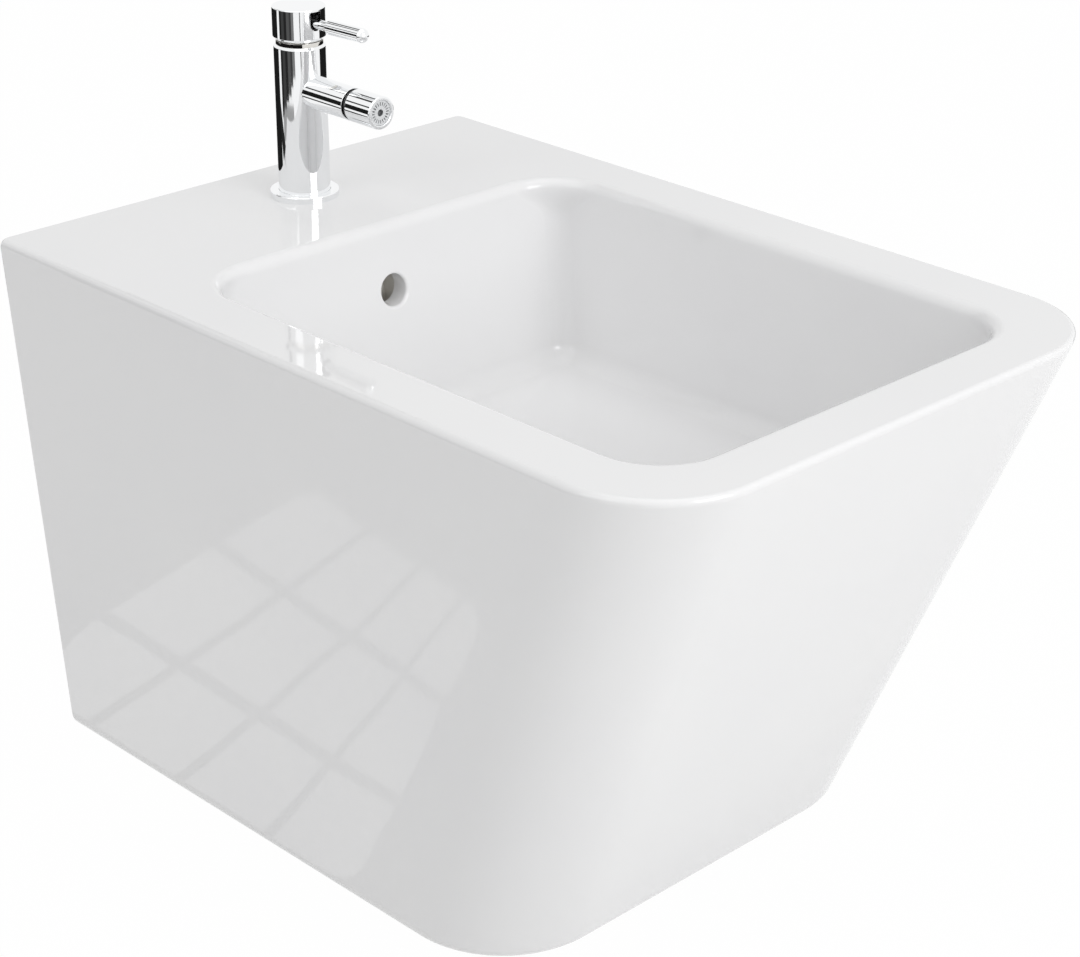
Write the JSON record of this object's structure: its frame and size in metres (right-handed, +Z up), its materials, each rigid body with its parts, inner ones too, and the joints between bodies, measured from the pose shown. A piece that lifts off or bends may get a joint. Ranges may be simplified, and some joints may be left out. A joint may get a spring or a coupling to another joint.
{
  "type": "wall-hung bidet with mixer tap",
  "caption": "Square wall-hung bidet with a forward-sloping front, deep rounded bowl, overflow, click waste and a lever mixer tap with a swivel jet.",
  "frame": {"origin": "midway between the two wall-fixing holes, on the wall face", "axes": "+X to the right seen from the front, +Y into the wall, +Z up"},
  "size_m": [0.3694, 0.5336, 0.4556],
  "materials": {
    "vitreous_china": "gloss glaze",
    "chrome": "polished",
    "brass": "machined",
    "black_rubber": "matte",
    "black_plastic": "satin",
    "white_plastic": "satin",
    "disc_ceramic": "lapped",
    "zinc_steel": "zinc plated"
  },
  "bodies": {
    "fixed_body": {"ceramic_body": "vitreous_china", "fixing_sleeves": "white_plastic", "waste_body": "chrome", "waste_upper_seal": "black_rubber", "waste_lower_seal": "black_rubber", "waste_back_nut": "brass", "click_mechanism": "white_plastic", "tap_body": "chrome", "tap_base_ring": "chrome", "tap_base_seal": "black_rubber", "tap_spout": "chrome", "spout_nipple": "brass", "cartridge_housing": "white_plastic", "cartridge_port_seals": "black_rubber", "cartridge_lower_disc": "disc_ceramic", "cartridge_nut": "brass", "tap_stud": "zinc_steel", "clamp_rubber": "black_rubber", "clamp_plate": "zinc_steel", "stud_nut": "brass"},
    "click_cap": {"waste_cap": "chrome", "waste_cap_seal": "black_rubber"},
    "handle": {"handle_cap": "chrome", "cap_screw": "zinc_steel", "cartridge_carrier": "white_plastic", "cartridge_pivot_pin": "zinc_steel"},
    "lever": {"cartridge_spindle": "brass", "lever_rod": "chrome", "lever_grip": "chrome", "lever_set_screw": "zinc_steel"},
    "mixing_disc": {"cartridge_upper_disc": "disc_ceramic"},
    "swivel_ring": {"swivel_seal_ring": "black_plastic"},
    "aerator": {"swivel_ball": "black_plastic", "aerator_housing": "chrome", "aerator_seal": "black_rubber", "aerator_insert": "white_plastic"}
  },
  "joints": [
    {"name": "handle_turn", "type": "hinge", "parent": "fixed_body", "child": "handle", "pos_m": [0, -0.0575, 0.1828], "axis": [0, 0, 1], "range_deg": [-50, 50]},
    {"name": "lever_lift", "type": "hinge", "parent": "handle", "child": "lever", "pos_m": [0, -0.0575, 0.1828], "axis": [-1, 0, 0], "range_deg": [0, 11.5]},
    {"name": "disc_slide", "type": "slide", "parent": "handle", "child": "mixing_disc", "axis": [0, -1, 0], "range_m": [0, 0.0031]},
    {"name": "aerator_tilt", "type": "hinge", "parent": "fixed_body", "child": "swivel_ring", "pos_m": [0, -0.1095, 0.1528], "axis": [1, 0, 0], "range_deg": [-10, 10]},
    {"name": "aerator_swing", "type": "hinge", "parent": "swivel_ring", "child": "aerator", "pos_m": [0, -0.1095, 0.1528], "axis": [0, 0, 1], "range_deg": [-10, 10]},
    {"name": "cap_press", "type": "slide", "parent": "fixed_body", "child": "click_cap", "axis": [0, 0, 1], "range_m": [0, 0.008]}
  ],
  "couplings": [
    {"joint": "disc_slide", "follows": "lever_lift", "m_per_rad": 0.015}
  ]
}
